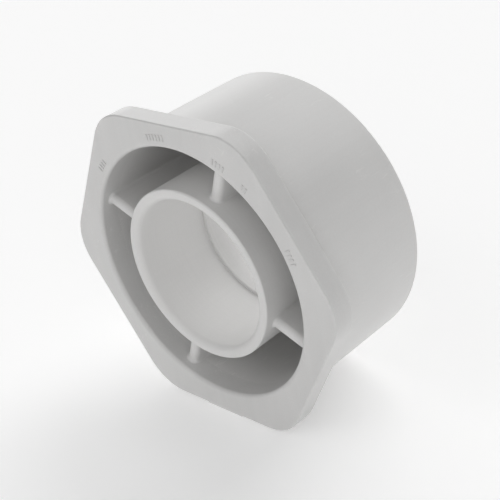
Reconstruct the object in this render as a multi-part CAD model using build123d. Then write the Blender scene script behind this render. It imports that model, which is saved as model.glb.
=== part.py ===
from build123d import *
from math import tan, radians
import os

# Reducing bush for solvent-welded pipe, in millimetres. It slides into a 4 in socket and takes a
# 2 in pipe. The real fitting is one injection moulding: its functional regions are made here as
# separate solids that meet face to face. The axis is Y. The flange face lies at y = 0, the spigot
# points along +Y, and one flat of the hexagon faces up (+Z). The origin is the centre of the
# socket's mouth.

# Spigot
SPIGOT_RADIUS = 57.15  # half the outside diameter of 4 in pipe
LENGTH = 59.8  # flange face to spigot tip
TIP_ROUND_OUTSIDE = 1.2
TIP_ROUND_INSIDE = 0.8
SPIGOT_ROOT_FILLET = 0.8

# Hexagonal flange
ACROSS_FLATS = 120.6
GATE_FLAT_DROP = 0.5  # the bottom flat, which carries the gate, lies this much further out
CORNER_RADIUS = 19.3
FLANGE_THICKNESS = 9.1
FACE_EDGE_ROUND = 0.6
BACK_EDGE_ROUND = 0.6

# Socket for 2 in pipe
SOCKET_RADIUS = 30.3
SOCKET_DEPTH = 34.6
MOUTH_LEAD_IN = 2.4
HUB_RIM_ROUND = 0.7

# Pipe stop: a narrow ledge, bored to the throat of the waterway
THROAT_RADIUS = 29.0
STOP_THICKNESS = 3.0
STOP_EDGE_ROUND = 0.4

# Coring pocket between the hub and the spigot wall, drafted so that it leaves the mould
POCKET_OUTER_RADIUS = 51.05
POCKET_INNER_RADIUS = 34.9
POCKET_DRAFT = 0.5  # degrees
POCKET_MOUTH_ROUND = 1.6
POCKET_BOTTOM_FILLET = 3.0

# Bell that closes the pocket and widens the waterway towards the spigot's tip
BELL_WALL = 6.0  # along the axis, at the spigot wall
TIP_LAND = 2.5  # plain stretch between the bell's wide end and the tip

# Ribs
RIB_COUNT = 4
RIB_FIRST_ANGLE = 22.7  # from +Z towards +X
RIB_THICKNESS = 4.8
RIB_RECESS = 4.5  # below the flange face
RIB_NOSE_ROUND = 2.2
RIB_ROOT_FILLET = 1.1
ROOT_TRIM = 0.01  # taken off where the roots run out to nothing
RIB_SECTOR = 16  # degrees of the pocket that hold one rib and its roots
SLEEVE_SECTOR = 30  # degrees of hub and wall that the roots are rounded against

# Pad left by the mould's gate on the bottom flat
GATE_WIDTH = 18.4
GATE_DEPTH = 5.0
GATE_INSET = 0.2  # behind the flange face
GATE_HEIGHT = 0.6
GATE_ROUND = 0.3

# Groups of plain raised ticks on the flange face
TICK_RING_RADIUS = 55.0
TICK_LENGTH = 2.3
TICK_WIDTH = 0.6
TICK_HEIGHT = 0.25
TICK_STEP = 1.7  # degrees between ticks
TICK_GROUPS = {-47: 4, -6: 6, 26: 4, 39: 2, 68: 4}  # angle from +Z towards +X: number of ticks

STOP_END = SOCKET_DEPTH + STOP_THICKNESS
BELL_END = LENGTH - TIP_LAND
AXIS = Axis.Y


def outline(*points):
    """Closed flat shape through points given as (radius, y)."""
    return make_face(Polyline(*points, close=True))


def rounded(profile, corner, radius):
    """Round the one corner of a profile that lies at the given (radius, y)."""
    vertex = profile.vertices().sort_by_distance(Vector(*corner))[0]
    return fillet(vertex, radius)


def turned(profile):
    """Turn a profile about the fitting's axis."""
    return revolve(profile, AXIS).solid()


def sector(profile, sweep):
    """Turn a profile through a sweep in degrees that is centred on +Z."""
    return Rot(0, -90 - sweep / 2, 0) * revolve(profile, AXIS, sweep).solid()


def spigot_wall(y, inset=0):
    """(radius, y) on the inside of the spigot wall, or set in from it, into the pocket."""
    return POCKET_OUTER_RADIUS - inset - y * tan(radians(POCKET_DRAFT)), y


def hub_wall(y, inset=0):
    """(radius, y) on the outside of the socket hub, or set out from it, into the pocket."""
    return POCKET_INNER_RADIUS + inset + y * tan(radians(POCKET_DRAFT)), y


def ring_profile(inset=0):
    """The whole ring between hub and spigot wall, from the flange face to the spigot's tip."""
    return outline(
        hub_wall(0, inset), spigot_wall(0, inset), spigot_wall(LENGTH, inset), hub_wall(LENGTH, inset)
    )


def bell_curve(throat, rim):
    """Quarter ellipse that leaves the throat along the axis and meets the spigot wall squarely."""
    centre = (rim[0], throat[1])
    return EllipticalCenterArc(centre, rim[0] - throat[0], rim[1] - throat[1], 90, arc_size=90)


def pocket_profile():
    """The empty ring between hub and spigot wall, down to the bell, with a rounded outer corner."""
    throat = hub_wall(STOP_END)
    rim = spigot_wall(BELL_END - BELL_WALL)
    profile = make_face([Polyline(throat, hub_wall(0), spigot_wall(0), rim), bell_curve(throat, rim)])
    return rounded(profile, rim, POCKET_BOTTOM_FILLET)


def hexagon():
    """Hexagon with sharp corners: three slabs a sixth of a turn apart, one of them wider at the bottom."""
    slab = Rectangle(2 * ACROSS_FLATS, ACROSS_FLATS)
    level_slab = Rectangle(2 * ACROSS_FLATS, ACROSS_FLATS + GATE_FLAT_DROP)
    return Pos(0, -GATE_FLAT_DROP / 2) * level_slab & Rot(0, 0, 60) * slab & Rot(0, 0, 120) * slab


def hex_flange():
    """Hexagonal plate with rounded corners and edges, open over the coring pocket."""
    plate = hexagon()
    plate = fillet(plate.vertices(), CORNER_RADIUS)
    flange = extrude(Plane.XZ * plate, -FLANGE_THICKNESS)
    flange = fillet(flange.edges().group_by(AXIS)[-1], BACK_EDGE_ROUND)
    flange = fillet(flange.edges().group_by(AXIS)[0], FACE_EDGE_ROUND)
    opening = outline((0, 0), spigot_wall(0), spigot_wall(FLANGE_THICKNESS), (0, FLANGE_THICKNESS))
    flange -= turned(opening)
    mouth = flange.edges().filter_by(GeomType.CIRCLE).group_by(AXIS)[0].sort_by(SortBy.RADIUS)[-1]
    return fillet(mouth, POCKET_MOUTH_ROUND).solid()


def spigot_barrel():
    """Wall of the spigot, with a small fillet where it leaves the flange."""
    foot = SPIGOT_RADIUS + SPIGOT_ROOT_FILLET
    top_of_fillet = FLANGE_THICKNESS + SPIGOT_ROOT_FILLET
    tip = (SPIGOT_RADIUS, LENGTH)
    edges = [
        Polyline(
            (SPIGOT_RADIUS, top_of_fillet),
            tip,
            spigot_wall(LENGTH),
            spigot_wall(FLANGE_THICKNESS),
            (foot, FLANGE_THICKNESS),
        ),
        CenterArc((foot, top_of_fillet), SPIGOT_ROOT_FILLET, 180, 90),
    ]
    profile = rounded(make_face(edges), tip, TIP_ROUND_OUTSIDE)
    return turned(rounded(profile, spigot_wall(LENGTH), TIP_ROUND_INSIDE))


def socket_hub():
    """Tube with the socket bore and a rounded lead-in at its mouth."""
    mouth = (SOCKET_RADIUS, 0)
    profile = outline(mouth, hub_wall(0), hub_wall(SOCKET_DEPTH), (SOCKET_RADIUS, SOCKET_DEPTH))
    profile = rounded(profile, mouth, MOUTH_LEAD_IN)
    return turned(rounded(profile, hub_wall(0), HUB_RIM_ROUND))


def pipe_stop():
    """Ledge at the bottom of the socket, bored to the throat."""
    lip = (THROAT_RADIUS, SOCKET_DEPTH)
    profile = outline(lip, hub_wall(SOCKET_DEPTH), hub_wall(STOP_END), (THROAT_RADIUS, STOP_END))
    return turned(rounded(profile, lip, STOP_EDGE_ROUND))


def flow_bell():
    """Flaring web from the pipe stop out to the spigot wall, with the fillet of the pocket's bottom."""
    throat = (THROAT_RADIUS, STOP_END)
    rim = spigot_wall(BELL_END)
    sides = Polyline(throat, hub_wall(STOP_END), hub_wall(0), spigot_wall(0), rim)
    return turned(make_face([sides, bell_curve(throat, rim)]) - pocket_profile())


def rib():
    """Upright rib from the hub to the spigot wall, with a rounded nose and roots that flare into both."""
    hub = outline((SOCKET_RADIUS, 0), hub_wall(0), hub_wall(LENGTH), (SOCKET_RADIUS, LENGTH))
    wall = outline(spigot_wall(0), (SPIGOT_RADIUS, 0), (SPIGOT_RADIUS, LENGTH), spigot_wall(LENGTH))
    hub = sector(hub, SLEEVE_SECTOR)
    wall = sector(wall, SLEEVE_SECTOR)
    inner_end = SOCKET_RADIUS + RIB_THICKNESS / 2
    span = SPIGOT_RADIUS - RIB_THICKNESS / 2 - inner_end
    web = Box(RIB_THICKNESS, LENGTH - RIB_RECESS, span, align=(Align.CENTER, Align.MIN, Align.MIN))
    web = Pos(0, RIB_RECESS, inner_end) * web
    web = fillet(web.edges().filter_by(Axis.Z).group_by(AXIS)[0], RIB_NOSE_ROUND)
    joined = hub + wall + web
    joined = fillet(new_edges(hub, wall, web, combined=joined), RIB_ROOT_FILLET)
    room = pocket_profile() & ring_profile(ROOT_TRIM)
    return (joined & sector(room, RIB_SECTOR)).solid()


def gate_vestige(flange):
    """Low rounded pad on the middle of the bottom flat, nearly flush with the flange face."""
    level = -ACROSS_FLATS / 2 - GATE_FLAT_DROP
    height = GATE_HEIGHT + FACE_EDGE_ROUND
    pad = Box(GATE_WIDTH, GATE_DEPTH, height, align=(Align.CENTER, Align.MIN, Align.MIN))
    pad = Pos(0, GATE_INSET, level - GATE_HEIGHT) * pad
    pad = fillet(pad.edges().group_by(Axis.Z)[0] + pad.edges().filter_by(Axis.Z), GATE_ROUND)
    return (pad - flange).solid()


def face_marks():
    """Raised radial ticks, in groups round the flange face."""
    tick = Box(TICK_WIDTH, TICK_HEIGHT, TICK_LENGTH, align=(Align.CENTER, Align.MAX, Align.CENTER))
    tick = Pos(0, 0, TICK_RING_RADIUS) * tick
    ticks = []
    for middle, count in TICK_GROUPS.items():
        for index in range(count):
            angle = middle + (index - (count - 1) / 2) * TICK_STEP
            ticks.append(Rot(0, angle, 0) * tick)
    return Compound(children=ticks)


flange = hex_flange()
nodes = {
    "hex_flange": flange,
    "spigot_barrel": spigot_barrel(),
    "socket_hub": socket_hub(),
    "pipe_stop": pipe_stop(),
    "flow_bell": flow_bell(),
    "gate_vestige": gate_vestige(flange),
    "face_marks": face_marks(),
}
upright_rib = rib()
for number in range(RIB_COUNT):
    angle = RIB_FIRST_ANGLE + number * 360 / RIB_COUNT
    nodes[f"rib_{number + 1}"] = Rot(0, angle, 0) * upright_rib

os.makedirs("parts", exist_ok=True)
for name, shape in nodes.items():
    export_step(shape, f"parts/{name}.step")
    print(name, round(shape.volume, 1))
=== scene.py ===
from math import cos, pi, radians, sin

import bpy
from mathutils import Matrix, Vector


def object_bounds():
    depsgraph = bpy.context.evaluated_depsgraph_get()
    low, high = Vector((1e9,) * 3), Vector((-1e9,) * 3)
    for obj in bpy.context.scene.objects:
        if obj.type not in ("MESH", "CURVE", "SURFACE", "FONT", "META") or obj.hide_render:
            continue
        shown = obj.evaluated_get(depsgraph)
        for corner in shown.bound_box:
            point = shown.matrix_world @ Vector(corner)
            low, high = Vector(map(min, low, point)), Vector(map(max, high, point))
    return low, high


# A moulded plastic reducing bush on a pale floor. Metres, in the CAD frame: the fitting's axis is Y,
# with the flange's face at y = 0 and the spigot's tip at high y. One flat of the hexagon faces up.
# A direction is an azimuth, from straight in front of the flange (-Y) towards +X, and an elevation
# above the floor, both in degrees.

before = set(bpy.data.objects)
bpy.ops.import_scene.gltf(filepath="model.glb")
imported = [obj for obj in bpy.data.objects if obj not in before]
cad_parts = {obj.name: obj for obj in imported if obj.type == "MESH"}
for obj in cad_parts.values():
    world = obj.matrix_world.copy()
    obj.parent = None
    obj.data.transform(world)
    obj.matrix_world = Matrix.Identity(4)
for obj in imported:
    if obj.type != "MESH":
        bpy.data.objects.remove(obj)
cad_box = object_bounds()

WHITE = (1, 1, 1, 1)

# Camera: its direction and distance from the middle of the socket's mouth, the point it aims at and
# its roll in degrees. The lens and the sensor are in millimetres.
CAMERA_AZIMUTH = 51.376
CAMERA_ELEVATION = 28.720
CAMERA_DISTANCE = 0.414901
CAMERA_AIM = Vector((0.012086, 0.018166, 0.004713))
CAMERA_ROLL = -10.825
CAMERA_LENS = 81.206
SENSOR_WIDTH = 36

# Soft studio lights: azimuth, elevation, strength
SOFTBOX_SPREAD = 50  # degrees that each one spans, as seen from the part
SOFTBOXES = {
    "front_right": (45, 15, 0.15),
    "front_high": (0, 40, 0.10),
    "front_left": (315, 40, 0.06),
    "rear_left": (225, 15, 0.27),
    "rear": (180, 40, 0.33),
}
WORLD_STRENGTH = 0.34  # what the surround gives to the part and the floor
BACKDROP_STRENGTH = 0.95  # what the camera sees beyond the floor

# Floor: nearly white, matt and faintly glowing
FLOOR_SIZE = 12.0
FLOOR_COLOUR = (0.97, 0.97, 0.97)
FLOOR_ROUGHNESS = 0.9
FLOOR_SPECULAR = 0.0
FLOOR_GLOW = 0.20

# Plastic: its mean colour, and the share by which the darkest and the lightest tones differ from it
PLASTIC_COLOUR = Vector((0.695, 0.690, 0.682))
TONE_RANGE = 0.12
PLASTIC_IOR = 1.50
MEAN_TONE = 0.5  # halfway from the darkest tone to the lightest
MEAN_ROUGHNESS = 0.46
MEAN_RELIEF = 0.5
GATE_SHADE = 1.02  # the sheared pad is a little lighter than the rest
MARK_SHADE = 0.87  # the ticks are darker

# Sizes of the layers of detail, in features per metre
MOTTLE_SCALE = 24
PATCH_SCALE = 45
WAVINESS_SCALE = 60
FLOW_SCALE = 160
WEAR_SCALE = 180
SCUFF_SCALE = 420
DRAW_SCALE = 650
TURNING_SCALE = 1100
SPECKLE_SCALE = 1500
GRAIN_SCALE = 2600

# Stretches of the noise. A number below 1 draws it out along that axis.
UNSTRETCHED = (1, 1, 1)
ALONG_AXIS = (1, 0.03, 1)
SCUFFED_ALONG_AXIS = (1, 0.25, 1)
UP_FROM_GATE = (1, 1, 0.12)
ACROSS_GATE = (0.15, 1, 1)

ACROSS_AXIS = (1, 0, 1)  # leaves out the part of a position that lies along the axis

# Noise values between which a layer of marks fades in
SCUFF_LIMITS = (0.60, 0.70)
PATCH_LIMITS = (0.50, 0.62)
WEAR_LIMITS = (0.35, 0.60)
SCUFF_DISTORTION = 1.5

RELIEF_DEPTH = 0.00006  # height of the whole bump, before each layer takes its share
EDGE_REACH = 0.0016  # width of the rubbed band along an edge
EDGE_SAMPLES = 8

# Sockets of a mix node. Those for colours come after those for numbers and vectors.
MIX_FACTOR = 0
MIX_DARK = 6
MIX_LIGHT = 7
MIX_RESULT = 2


def direction_of(azimuth, elevation):
    """Unit vector towards an azimuth and an elevation, in degrees."""
    azimuth = radians(azimuth)
    elevation = radians(elevation)
    return Vector((sin(azimuth) * cos(elevation), -cos(azimuth) * cos(elevation), sin(elevation)))


def add_camera():
    """The camera that takes the photograph's view."""
    data = bpy.data.cameras.new("camera")
    data.lens = CAMERA_LENS
    data.sensor_width = SENSOR_WIDTH
    camera = bpy.data.objects.new("camera", data)
    bpy.context.scene.collection.objects.link(camera)
    location = direction_of(CAMERA_AZIMUTH, CAMERA_ELEVATION) * CAMERA_DISTANCE
    level = (CAMERA_AIM - location).to_track_quat("-Z", "Y").to_matrix().to_4x4()
    roll = Matrix.Rotation(radians(CAMERA_ROLL), 4, "Z")
    camera.matrix_world = Matrix.Translation(location) @ level @ roll
    bpy.context.scene.camera = camera


def add_softbox(name, azimuth, elevation, strength):
    """A large distant softbox that shines on the part from the given direction."""
    data = bpy.data.lights.new(name, "SUN")
    data.angle = radians(SOFTBOX_SPREAD)
    data.energy = strength * pi
    light = bpy.data.objects.new(name, data)
    light.rotation_mode = "QUATERNION"
    light.rotation_quaternion = direction_of(azimuth, elevation).to_track_quat("Z", "Y")
    bpy.context.scene.collection.objects.link(light)


def add_world():
    """An even white surround that lights the part gently, and looks nearly white to the camera."""
    world = bpy.data.worlds.new("studio")
    world.use_nodes = True
    nodes = world.node_tree.nodes
    links = world.node_tree.links
    seen = nodes.new("ShaderNodeLightPath").outputs["Is Camera Ray"]
    strength = nodes.new("ShaderNodeMapRange")
    strength.inputs["To Min"].default_value = WORLD_STRENGTH
    strength.inputs["To Max"].default_value = BACKDROP_STRENGTH
    background = nodes["Background"]
    background.inputs["Color"].default_value = WHITE
    links.new(seen, strength.inputs["Value"])
    links.new(strength.outputs["Result"], background.inputs["Strength"])
    bpy.context.scene.world = world


def add_floor():
    """A wide level floor under the lowest point of the part."""
    half = FLOOR_SIZE / 2
    level = cad_box[0].z
    corners = [(-half, -half, level), (half, -half, level), (half, half, level), (-half, half, level)]
    mesh = bpy.data.meshes.new("floor")
    mesh.from_pydata(corners, [], [(0, 1, 2, 3)])
    floor = bpy.data.objects.new("floor", mesh)
    bpy.context.scene.collection.objects.link(floor)
    material = bpy.data.materials.new("floor")
    material.use_nodes = True
    shader = material.node_tree.nodes["Principled BSDF"]
    shader.inputs["Base Color"].default_value = (*FLOOR_COLOUR, 1)
    shader.inputs["Roughness"].default_value = FLOOR_ROUGHNESS
    shader.inputs["Specular IOR Level"].default_value = FLOOR_SPECULAR
    shader.inputs["Emission Color"].default_value = WHITE
    shader.inputs["Emission Strength"].default_value = FLOOR_GLOW
    mesh.materials.append(material)


class Plastic:
    """A moulded plastic, built up from layers of detail that follow the object's own coordinates.

    Every layer is a value from 0 to 1. Noise swings about 0.5, while scuffs and rubbed edges are 0
    except where they mark the surface. The layers are added up, each with its own amount, to make
    the tone, the roughness and the relief of the surface.
    """

    def __init__(self, name):
        self.material = bpy.data.materials.new(name)
        self.material.use_nodes = True
        self.nodes = self.material.node_tree.nodes
        self.links = self.material.node_tree.links
        self.shader = self.nodes["Principled BSDF"]
        self.shader.inputs["IOR"].default_value = PLASTIC_IOR
        self.position = self.nodes.new("ShaderNodeTexCoord").outputs["Object"]

    def node(self, kind, inputs, **settings):
        """A new node. Each input is a value to set or another node's output to link."""
        node = self.nodes.new(kind)
        for setting, value in settings.items():
            setattr(node, setting, value)
        for key, value in inputs.items():
            if isinstance(value, bpy.types.NodeSocket):
                self.links.new(value, node.inputs[key])
            else:
                node.inputs[key].default_value = value
        return node

    def math(self, operation, *values):
        """The result of one step of arithmetic on numbers or outputs."""
        return self.node("ShaderNodeMath", dict(enumerate(values)), operation=operation).outputs[0]

    def noise(self, scale, stretch=UNSTRETCHED, detail=2, distortion=0):
        """Cloudy noise, with a stretch along each axis."""
        place = self.node("ShaderNodeMapping", {"Vector": self.position, "Scale": stretch}).outputs[0]
        inputs = {"Vector": place, "Scale": scale, "Detail": detail, "Distortion": distortion}
        return self.node("ShaderNodeTexNoise", inputs).outputs[0]

    def mottle(self):
        """Broad soft clouds."""
        return self.noise(MOTTLE_SCALE, detail=3)

    def speckle(self, detail=1):
        """Fine specks."""
        return self.noise(SPECKLE_SCALE, detail=detail)

    def waviness(self):
        """Gentle unevenness of a moulded wall."""
        return self.noise(WAVINESS_SCALE, detail=1)

    def draw_lines(self):
        """Lines along the axis, left as the part slid out of the mould."""
        return self.noise(DRAW_SCALE, ALONG_AXIS, detail=3)

    def turning_marks(self):
        """Fine rings about the fitting's axis, as copied from a turned core or cavity."""
        inputs = {0: self.position, 1: ACROSS_AXIS}
        flat = self.node("ShaderNodeVectorMath", inputs, operation="MULTIPLY").outputs[0]
        radius = self.node("ShaderNodeVectorMath", {0: flat}, operation="LENGTH").outputs["Value"]
        depth = self.node("ShaderNodeSeparateXYZ", {0: self.position}).outputs["Y"]
        inputs = {"W": self.math("ADD", radius, depth), "Scale": TURNING_SCALE, "Detail": 3}
        return self.node("ShaderNodeTexNoise", inputs, noise_dimensions="1D").outputs[0]

    def fade_in(self, layer, limits):
        """0 where the layer is below the lower limit, 1 where it is above the upper one."""
        inputs = {"Value": layer, "From Min": limits[0], "From Max": limits[1]}
        return self.node("ShaderNodeMapRange", inputs).outputs[0]

    def scuffs(self, stretch=UNSTRETCHED):
        """Short light scuffs, gathered in patches."""
        marks = self.noise(SCUFF_SCALE, stretch, detail=4, distortion=SCUFF_DISTORTION)
        marks = self.fade_in(marks, SCUFF_LIMITS)
        patches = self.fade_in(self.noise(PATCH_SCALE, detail=1), PATCH_LIMITS)
        return self.math("MULTIPLY", marks, patches)

    def rubbed_edges(self):
        """Bands along outer edges, broken up where handling hasn't reached them."""
        settings = {"inside": True, "only_local": True, "samples": EDGE_SAMPLES}
        edge = self.node("ShaderNodeAmbientOcclusion", {"Distance": EDGE_REACH}, **settings)
        closeness = self.math("SUBTRACT", 1.0, edge.outputs["AO"])
        wear = self.fade_in(self.noise(WEAR_SCALE, detail=4), WEAR_LIMITS)
        return self.math("MULTIPLY", closeness, wear)

    def sum_of(self, centre, layers):
        """The centre value plus what each layer has above or below 0.5, times its amount."""
        total = centre - sum(amount for layer, amount in layers) / 2
        for layer, amount in layers:
            total = self.math("MULTIPLY_ADD", layer, amount, total)
        return total

    def finish(self, tone, roughness, relief, shade=1.0):
        """Add up the layers for tone, roughness and relief, and wire them to the shader."""
        darkest = PLASTIC_COLOUR * shade * (1 - TONE_RANGE)
        lightest = PLASTIC_COLOUR * shade * (1 + TONE_RANGE)
        colours = {
            MIX_FACTOR: self.sum_of(MEAN_TONE, tone),
            MIX_DARK: (*darkest, 1),
            MIX_LIGHT: (*lightest, 1),
        }
        mix = self.node("ShaderNodeMix", colours, data_type="RGBA")
        self.links.new(mix.outputs[MIX_RESULT], self.shader.inputs["Base Color"])
        self.links.new(self.sum_of(MEAN_ROUGHNESS, roughness), self.shader.inputs["Roughness"])
        height = self.sum_of(MEAN_RELIEF, relief)
        bump = self.node("ShaderNodeBump", {"Height": height, "Distance": RELIEF_DEPTH, "Strength": 1.0})
        self.links.new(bump.outputs[0], self.shader.inputs["Normal"])
        return self.material


def flange_plastic():
    """Flange: flow lines running up from the gate, rubbed edges, a few scuffs."""
    plastic = Plastic("flange_plastic")
    mottle = plastic.mottle()
    speckle = plastic.speckle()
    flow = plastic.noise(FLOW_SCALE, UP_FROM_GATE, detail=3, distortion=0.5)
    waviness = plastic.waviness()
    grain = plastic.noise(GRAIN_SCALE)
    scuffs = plastic.scuffs()
    edges = plastic.rubbed_edges()
    return plastic.finish(
        tone=[(mottle, 0.55), (speckle, 0.25), (flow, 0.35), (scuffs, 0.30), (edges, 0.50)],
        roughness=[(mottle, 0.12), (flow, 0.10), (grain, 0.10), (scuffs, 0.15), (edges, 0.12)],
        relief=[(waviness, 0.60), (flow, 0.15), (grain, 0.12), (scuffs, -0.10)])


def barrel_plastic():
    """Spigot: lines drawn along the axis as it left the mould, scuffs from other pipes."""
    plastic = Plastic("barrel_plastic")
    mottle = plastic.mottle()
    speckle = plastic.speckle()
    draw = plastic.draw_lines()
    turning = plastic.turning_marks()
    waviness = plastic.waviness()
    grain = plastic.noise(GRAIN_SCALE)
    scuffs = plastic.scuffs(SCUFFED_ALONG_AXIS)
    return plastic.finish(
        tone=[(mottle, 0.55), (speckle, 0.22), (draw, 0.18), (scuffs, 0.30)],
        roughness=[(mottle, 0.12), (draw, 0.12), (turning, 0.06), (scuffs, 0.15)],
        relief=[(waviness, 0.60), (draw, 0.10), (turning, 0.05), (grain, 0.10), (scuffs, -0.10)])


def turned_plastic(name):
    """Hub, stop and bell: rings copied from the turned core."""
    plastic = Plastic(name)
    mottle = plastic.mottle()
    speckle = plastic.speckle()
    draw = plastic.draw_lines()
    turning = plastic.turning_marks()
    grain = plastic.noise(GRAIN_SCALE)
    return plastic.finish(
        tone=[(mottle, 0.55), (speckle, 0.20), (turning, 0.16), (draw, 0.12)],
        roughness=[(mottle, 0.12), (turning, 0.14), (draw, 0.08)],
        relief=[(turning, 0.12), (draw, 0.06), (grain, 0.10)])


def rib_plastic():
    """Ribs: lines drawn along the axis as they left the mould."""
    plastic = Plastic("rib_plastic")
    mottle = plastic.mottle()
    speckle = plastic.speckle()
    draw = plastic.draw_lines()
    grain = plastic.noise(GRAIN_SCALE)
    return plastic.finish(
        tone=[(mottle, 0.55), (speckle, 0.25), (draw, 0.20)],
        roughness=[(mottle, 0.10), (draw, 0.12), (grain, 0.10)],
        relief=[(draw, 0.14), (grain, 0.14)])


def gate_plastic():
    """Gate pad: sheared off, so coarser and a little lighter than the moulded skin."""
    plastic = Plastic("gate_plastic")
    speckle = plastic.speckle(detail=2)
    shear = plastic.noise(DRAW_SCALE, ACROSS_GATE, detail=5, distortion=0.8)
    grain = plastic.noise(GRAIN_SCALE, detail=4)
    return plastic.finish(
        tone=[(speckle, 0.35), (shear, 0.50)],
        roughness=[(shear, 0.20), (grain, 0.15)],
        relief=[(shear, 1.10), (grain, 0.40)],
        shade=GATE_SHADE)


def mark_plastic():
    """Raised ticks: greyed by handling."""
    plastic = Plastic("mark_plastic")
    speckle = plastic.speckle(detail=2)
    grain = plastic.noise(GRAIN_SCALE, detail=3)
    dirt = plastic.noise(SCUFF_SCALE, detail=4)
    return plastic.finish(
        tone=[(dirt, 0.90), (speckle, 0.35)],
        roughness=[(dirt, 0.20), (grain, 0.12)],
        relief=[(grain, 0.20)],
        shade=MARK_SHADE)


def dress(names, material):
    """Give the named pieces one material in place of their plain one."""
    for name in names:
        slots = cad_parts[name].data.materials
        slots.clear()
        slots.append(material)


add_world()
add_floor()
for name, (azimuth, elevation, strength) in SOFTBOXES.items():
    add_softbox(name, azimuth, elevation, strength)
add_camera()

dress(["hex_flange"], flange_plastic())
dress(["spigot_barrel"], barrel_plastic())
dress(["socket_hub"], turned_plastic("hub_plastic"))
dress(["pipe_stop"], turned_plastic("stop_plastic"))
dress(["flow_bell"], turned_plastic("bell_plastic"))
dress(["rib_1", "rib_2", "rib_3", "rib_4"], rib_plastic())
dress(["gate_vestige"], gate_plastic())
dress(["face_marks"], mark_plastic())

bpy.context.scene.view_settings.view_transform = "Standard"
